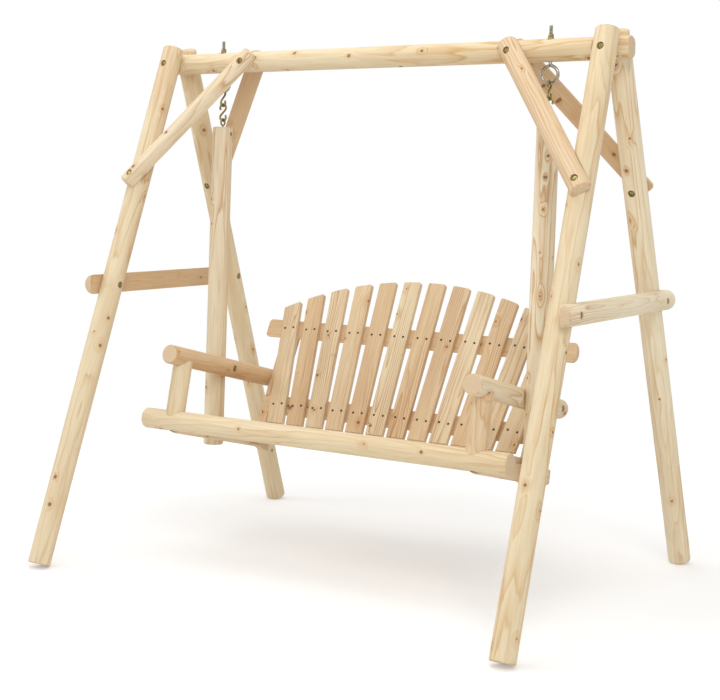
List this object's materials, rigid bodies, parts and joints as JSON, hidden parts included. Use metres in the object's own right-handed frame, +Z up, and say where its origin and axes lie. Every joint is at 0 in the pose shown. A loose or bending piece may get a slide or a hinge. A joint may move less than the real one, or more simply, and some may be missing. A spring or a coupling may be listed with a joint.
{
  "type": "A-frame porch swing",
  "caption": "Porch swing of peeled round logs: a slatted bench with armrests and an arched fan back, hung by S hooks from the crossbar of a braced A-frame stand.",
  "frame": {"origin": "on the ground under the middle of the crossbar", "axes": "+X along the crossbar to the sitter's left, -Y the way the sitter faces, +Z up"},
  "size_m": [1.731, 1.3968, 1.713],
  "materials": {
    "log_wood": "peeled, unstained, matt",
    "slat_wood": "sawn and sanded, matt",
    "yellow_zinc": "yellow zinc plated steel",
    "dark_screws": "dark coated steel"
  },
  "bodies": {
    "frame": {"brace_bolts": "yellow_zinc", "brace_front_left": "log_wood", "brace_front_right": "log_wood", "brace_rear_left": "log_wood", "brace_rear_right": "log_wood", "crossbar": "log_wood", "crossbar_bolts": "yellow_zinc", "eye_bolt_nuts": "yellow_zinc", "eye_bolt_washers": "yellow_zinc", "eye_bolts": "yellow_zinc", "frame_bolts": "yellow_zinc", "frame_nuts": "yellow_zinc", "leg_front_left": "log_wood", "leg_front_right": "log_wood", "leg_rear_left": "log_wood", "leg_rear_right": "log_wood", "side_rung_left": "log_wood", "side_rung_right": "log_wood"},
    "lower_hook_left": {"lower_hook_left": "yellow_zinc"},
    "lower_hook_right": {"lower_hook_right": "yellow_zinc"},
    "upper_hook_left": {"upper_hook_left": "yellow_zinc"},
    "upper_hook_right": {"upper_hook_right": "yellow_zinc"},
    "bench": {"arm_support_left": "log_wood", "arm_support_right": "log_wood", "armrest_left": "log_wood", "armrest_right": "log_wood", "back_slat_01": "slat_wood", "back_slat_02": "slat_wood", "back_slat_03": "slat_wood", "back_slat_04": "slat_wood", "back_slat_05": "slat_wood", "back_slat_06": "slat_wood", "back_slat_07": "slat_wood", "back_slat_08": "slat_wood", "back_slat_09": "slat_wood", "back_slat_10": "slat_wood", "back_slat_11": "slat_wood", "back_slat_12": "slat_wood", "back_upright_left": "log_wood", "back_upright_right": "log_wood", "bench_bolts": "yellow_zinc", "bench_nuts": "yellow_zinc", "front_rail": "log_wood", "lower_back_rail": "log_wood", "post_foot_bolts": "yellow_zinc", "post_left": "log_wood", "post_right": "log_wood", "screw_eyes": "yellow_zinc", "seat_slat_1": "slat_wood", "seat_slat_2": "slat_wood", "seat_slat_3": "slat_wood", "seat_slat_4": "slat_wood", "seat_slat_5": "slat_wood", "side_rail_left": "log_wood", "side_rail_right": "log_wood", "slat_screws": "dark_screws", "support_bolts": "yellow_zinc", "upper_back_rail": "log_wood"}
  },
  "joints": [
    {"name": "left_swing", "type": "hinge", "parent": "frame", "child": "upper_hook_left", "pos_m": [-0.6, 0, 1.543], "axis": [1, 0, 0], "range_deg": [-20, 20]},
    {"name": "left_link", "type": "hinge", "parent": "upper_hook_left", "child": "lower_hook_left", "pos_m": [-0.6, 0, 1.5021], "axis": [1, 0, 0], "range_deg": [-10, 10]},
    {"name": "right_swing", "type": "hinge", "parent": "frame", "child": "upper_hook_right", "pos_m": [0.6, 0, 1.543], "axis": [1, 0, 0], "range_deg": [-20, 20]},
    {"name": "right_link", "type": "hinge", "parent": "upper_hook_right", "child": "lower_hook_right", "pos_m": [0.6, 0, 1.5021], "axis": [1, 0, 0], "range_deg": [-10, 10]},
    {"name": "bench_rock", "type": "hinge", "parent": "lower_hook_left", "child": "bench", "pos_m": [-0.6, 0, 1.4451], "axis": [1, 0, 0], "range_deg": [-6, 6]}
  ],
  "couplings": [
    {"joint": "right_swing", "follows": "left_swing", "ratio": 1},
    {"joint": "right_link", "follows": "left_link", "ratio": 1}
  ]
}
